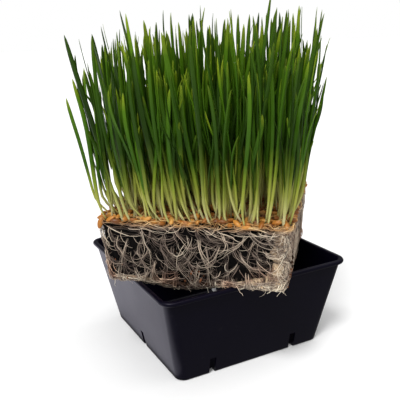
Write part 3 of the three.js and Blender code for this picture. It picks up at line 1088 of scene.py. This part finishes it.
def makeGrains():
    shape = grainTree()
    material = grainMaterial()
    fit = dict(huskSizes, Material=material)
    grains = {name: readGrain(name) for name in nodes if name.startswith("grain_")}
    for name, grain in grains.items():
        made = runTree(name, pointMesh([grain]), shape, fit)
        finishPiece(addPiece("wheat_" + name, made), [name])
    home = mat.place.inverted()
    planted = addPiece("planted", pointMesh([dict(g, foot=home @ g["foot"]) for g in grains.values()]))
    sizes = dict(sowSizes, Planted=planted, Material=material)
    made = runTree("grain_layer", topPatch(0.3 * mm, mat.top + 0.5 * mm), sowTree(shape), sizes)
    onMat("grain_layer", made, sags=False)
    bpy.data.objects.remove(planted)
    rng = random.Random(3)
    edge = []
    for (u, v, rise), aim in hangingGrains:
        edge.append({"foot": Vector((u * mat.halfLength, v * mat.halfDepth, mat.top + rise * mm)),
                     "aim": Vector(aim).normalized(), "roll": rng.uniform(0, 6), "size": 1.05, "tint": rng.random()})
    onMat("grain_edge", runTree("grain_edge", pointMesh(edge), shape, fit), sags=False)


makeGrains()
print("grains ready")

# Shoots
bladeSizes = {
    "around": 6, "along": 15, "gather": 0.66, "stem": 0.72, "fold": 0.40, "twist": 0.9, "wander": 1.6 * mm,
    "early": 0.36, "hookShare": 4.6, "hook": 5.2 * mm, "bulge": 3.0 * mm, "rightBulge": 0.4, "plantedHook": 2.5 * mm,
}
grassSizes = {
    "Spacing": 3.3 * mm, "Shortest": 78 * mm, "Longest": 116 * mm, "Lean": 0.12, "Bend": 0.09,
    "Left": 0.02, "Stray": 0.09, "Wild": 0.28, "Width": 2.6 * mm, "Second": 0.92, "Seed": 8,
}


def leafMaterial():
    material, graph, place = newMaterial("wheatLeaf")
    grow = graph.attribute("grow")
    tint = graph.attribute("tint")
    across = graph.attribute("across")
    mottle = graph.noise(place, 120.0, 3.0)
    veins = graph.maths("SINE", across * 16.0) * 0.5 + 0.5
    along = grow + (mottle - 0.5) * 0.12 + (tint - 0.5) * 0.10
    # pale stems at the foot, then darkest over the lower middle of the blades, which is painted shade for the inside
    # of the clump, and lighter again towards the yellowish tips
    tone = graph.ramp(along, [
        (0.0, (0.74, 0.68, 0.40)), (0.06, (0.56, 0.54, 0.20)), (0.20, (0.34, 0.36, 0.070)),
        (0.33, (0.145, 0.205, 0.020)), (0.47, (0.021, 0.068, 0.002)), (0.68, (0.025, 0.084, 0.003)),
        (0.9, (0.052, 0.134, 0.003)), (1.0, (0.15, 0.22, 0.014))])
    shade = graph.blend(tint, (0.28, 0.38, 0.27, 1), (1.62, 1.52, 1.05, 1))
    tone = graph.blend(graph.fade(grow, 0.10, 0.38, 0.12, 1.0), tone, shade, "MULTIPLY")
    tone = graph.blend(veins * 0.12, tone, (0.17, 0.27, 0.02, 1))
    return endMaterial(material, graph, tone, mottle * 0.15 + 0.36, 0.18, graph.bump(veins, 0.25, 0.12 * mm))


# Turns points that hold a foot and two ways into blades that follow a smooth bow between them
def bladeTree():
    graph, given = newTree("sweepBlades", {})
    s = bladeSizes
    points = graph.keep(given["Geometry"], foot=graph.node("GeometryNodeInputPosition"))
    tube = graph.node("GeometryNodeMeshCylinder", {"fill_type": "NGON"}, {
        "Vertices": s["around"], "Side Segments": s["along"], "Radius": 1.0, "Depth": 1.0})
    shape = graph.node("GeometryNodeInputPosition")
    rise = shape.z + 0.5
    gathered = rise - graph.maths("SINE", rise * (2 * math.pi)) * (s["gather"] / (2 * math.pi))
    tube = graph.keep(tube, share=gathered, across=shape.x, through=shape.y)
    blades = graph.realize(graph.copies(points, tube))
    share, early, tint, across = (graph.kept(name) for name in ("share", "early", "tint", "across"))
    startWay, endWay = graph.keptWay("startWay"), graph.keptWay("endWay")
    square = share * share
    bow = (startWay * (share * 2.0 - square) + endWay * square) * (graph.kept("reach") * 0.5)
    hook = graph.keptWay("hook") * (1.0 - graph.maths("MAXIMUM", 1.0 - share * s["hookShare"], 0.0) ** 2.0)
    phase = tint * 40.0
    swayY = graph.maths("SINE", share * 6.0 + phase * 1.7)
    sway = graph.xyz(graph.maths("SINE", share * 5.0 + phase), swayY, 0.0)
    centre = graph.keptWay("foot") + bow + hook + sway * (share * s["wander"])
    along = graph.unit(startWay * (1.0 - share) + endWay * share)
    turn = graph.kept("facing") + share * ((tint - 0.5) * s["twist"] * 2.0)
    side = graph.square(graph.xyz(graph.maths("COSINE", turn), graph.maths("SINE", turn), 0.0), along)
    face = graph.cross(along, side)
    grow = early + (1.0 - early) * share
    stem = s["stem"]
    wide = graph.node("ShaderNodeFloatCurve", {"points": [
        (0.0, stem * 0.85), (0.08, stem), (0.26, stem * 1.1), (0.42, 0.92), (0.60, 1.0), (0.86, 0.94),
        (0.95, 0.66), (0.985, 0.36), (1.0, 0.06)]}, {"Value": grow})
    thick = graph.node("ShaderNodeFloatCurve", {"points": [
        (0.0, stem * 0.85), (0.08, stem * 0.95), (0.24, stem * 0.8), (0.40, 0.24), (0.9, 0.16), (1.0, 0.06)]},
        {"Value": grow})
    half = graph.kept("width") * 0.5
    bladeFold = graph.fade(grow, 0.25, 0.5) * s["fold"]
    sideways = across * wide * half * graph.fade(share, 0.0, 0.2, 0.35, 1.0)
    outwards = graph.kept("through") * thick * half + abs(across) * wide * half * bladeFold
    blades = graph.shift(blades, Position=centre + side * sideways + face * outwards)
    blades = graph.smooth(graph.keep(blades, grow=grow))
    blades = graph.drop(blades, "foot startWay endWay early hook reach facing through share width")
    return graph.end(blades, given["Material"])


# Scatters the feet of the shoots over the top of the mat, and gives some a second blade
def grassTree(sweep):
    graph, given = newTree("growGrass", dict(
        grassSizes, Planted=bpy.types.Object, HalfLength=mat.halfLength, HalfDepth=mat.halfDepth))
    seed, left, width = given["Seed"], given["Left"], given["Width"]
    points = awayFrom(graph, graph.scatter(given, 400000.0), given["Planted"], given["Spacing"] * 0.8)
    foot = graph.node("GeometryNodeInputPosition")
    outX, outY = foot.x / given["HalfLength"], foot.y / given["HalfDepth"]
    rim = graph.maths("MAXIMUM", abs(outX), abs(outY))
    wild = graph.fade(rim, 0.5, 0.85, 1.0, 0.0) * given["Wild"]  # a few run across the rest
    stray = given["Stray"] + wild * graph.chance(seed + 13) ** 5.0
    rimX, rimY = outX * outX * outX, outY * outY * outY  # only the outer ones lean much

    def leaning(amount, number, share):
        way = graph.xyz(rimX * given[amount] - left, rimY * given[amount], 1.0)
        return graph.unit(way + graph.chanceWay(seed + number, (1.0, 1.0, 0.0)) * stray * share)

    taller = graph.fade(outX, -1.0, -0.1, 0.88, 1.0) * (graph.noise(foot, 55.0, 1.0) * 0.36 + 0.82)
    reach = given["Shortest"] + (given["Longest"] - given["Shortest"]) * graph.chance(seed + 3) ** 1.35
    hook, bulge = bladeSizes["hook"], bladeSizes["bulge"]
    calm = graph.fade(outX, 0.45, 0.95, 1.0, 0.35)
    points = graph.keep(
        points, startWay=leaning("Lean", 1, 1.8), endWay=leaning("Bend", 2, 1.0), reach=reach * taller,
        facing=graph.chance(seed + 4, 0.0, math.pi), tint=graph.chance(seed + 5), early=0.0,
        hook=graph.xyz((outX - bladeSizes["rightBulge"]) * bulge, outY * bulge, 0.0)
        + graph.chanceWay(seed + 6, (hook, hook, 0.0)) * calm,
        width=width * graph.chance(seed + 7, 0.78, 1.12))
    chosen = graph.maths("LESS_THAN", graph.chance(seed + 8), given["Second"])
    forked = graph.node("GeometryNodeSeparateGeometry", {"domain": "POINT"},
                        {"Geometry": points, "Selection": chosen}, "Selection")
    fork = graph.chance(seed + 9, 0.16, 0.40)
    oldStart, oldEnd, oldReach = graph.keptWay("startWay"), graph.keptWay("endWay"), graph.kept("reach")
    moved = (oldStart * (fork * 2.0 - fork * fork) + oldEnd * (fork * fork)) * (oldReach * 0.5)
    turned = graph.chanceWay(seed + 10, (0.16, 0.16, 0.0))
    forked = graph.keep(
        graph.shift(forked, Offset=moved), startWay=graph.unit(oldStart + turned * 0.6),
        endWay=graph.unit(oldEnd + turned * 1.6), reach=oldReach * graph.chance(seed + 11, 0.35, 0.62),
        early=bladeSizes["early"], hook=(0.0, 0.0, 0.0), width=width * graph.chance(seed + 12, 0.6, 0.95))
    both = graph.node("GeometryNodeJoinGeometry", None, {"Geometry": points})
    graph.tree.links.new(forked.socket, both.socket.node.inputs[0])
    return graph.end(graph.node("GeometryNodeGroup", {"node_tree": sweep},
                                {"Geometry": both, "Material": given["Material"]}))


# How a modelled shoot is read: heights over its lowest point, and where a second blade may leave it
shootPlan = {
    "footHeight": 0.8 * mm, "stemLow": 4 * mm, "stemHigh": 14 * mm, "trailSteps": 40,
    "forkApart": 5 * mm, "forkFrom": 12, "forkTo": 24, "forkShare": 0.62, "secondWidth": 0.85,
}


# The bow through a modelled shoot: foot, the way it starts, the way it ends, and its length
def readBow(foot, tip, startWay):
    chord = tip - foot
    reach = chord.length_squared / chord.dot(startWay)
    return {"foot": foot, "startWay": startWay, "endWay": (chord * (2 / reach) - startWay).normalized(),
            "reach": reach}


def bowPoint(bow, t):
    return bow["foot"] + (bow["startWay"] * (2 * t - t * t) + bow["endWay"] * t * t) * (bow["reach"] / 2)


def readShoot(name):
    s = SimpleNamespace(**shootPlan)
    points = nodePoints(name)
    low = min(p.z for p in points)
    foot = middleOf([p for p in points if p.z < low + s.footHeight])
    above = [p for p in points if low + s.stemLow < p.z < low + s.stemHigh]
    startWay = (middleOf(above) - foot).normalized() if above else Vector((0, 0, 1))
    main = readBow(foot, max(points, key=lambda p: p.z), startWay)
    rng = random.Random(name)
    hook = Vector((rng.uniform(-1, 1), rng.uniform(-1, 1), 0)) * bladeSizes["plantedHook"]

    def dress(bow, early, width):
        return dict(bow, facing=rng.uniform(0, math.pi), tint=rng.random(), early=early,
                    hook=hook if early == 0 else Vector((0, 0, 0)), width=width)

    shoots = [dress(main, 0.0, grassSizes["Width"] * rng.uniform(1.0, 1.25))]
    trail = [bowPoint(main, k / s.trailSteps) for k in range(s.trailSteps + 1)]
    away, tip = max(((min((p - q).length for q in trail), tuple(p)) for p in points))
    if away > s.forkApart:  # it carries a second blade
        tip = Vector(tip)
        rise = s.forkShare * (tip - foot).length
        root = min(range(s.forkFrom, s.forkTo), key=lambda k: abs((trail[k] - foot).length - rise))
        start = (trail[root + 1] - trail[root - 1]).normalized()
        start = (start + (tip - trail[root]).normalized()).normalized()
        second = readBow(trail[root], tip, start)
        shoots.append(dress(second, bladeSizes["early"], grassSizes["Width"] * s.secondWidth))
    return shoots


def makeGrass():
    sweep = bladeTree()
    material = leafMaterial()
    shoots = {name: readShoot(name) for name in nodes if name.startswith("shoot_")}
    for name, blades in shoots.items():
        made = runTree(name, pointMesh(blades), sweep, {"Material": material})
        finishPiece(addPiece("wheat_" + name, made), [name])
    home = mat.place.inverted()
    planted = addPiece("planted", pointMesh([{"foot": home @ b[0]["foot"]} for b in shoots.values()]))
    sizes = dict(grassSizes, Planted=planted, Material=material)
    made = runTree("grass", topPatch(1.5 * mm, mat.top - 0.6 * mm), grassTree(sweep), sizes)
    bpy.data.objects.remove(planted)
    onMat("grass", made, sags=False)


makeGrass()
print("grass ready")
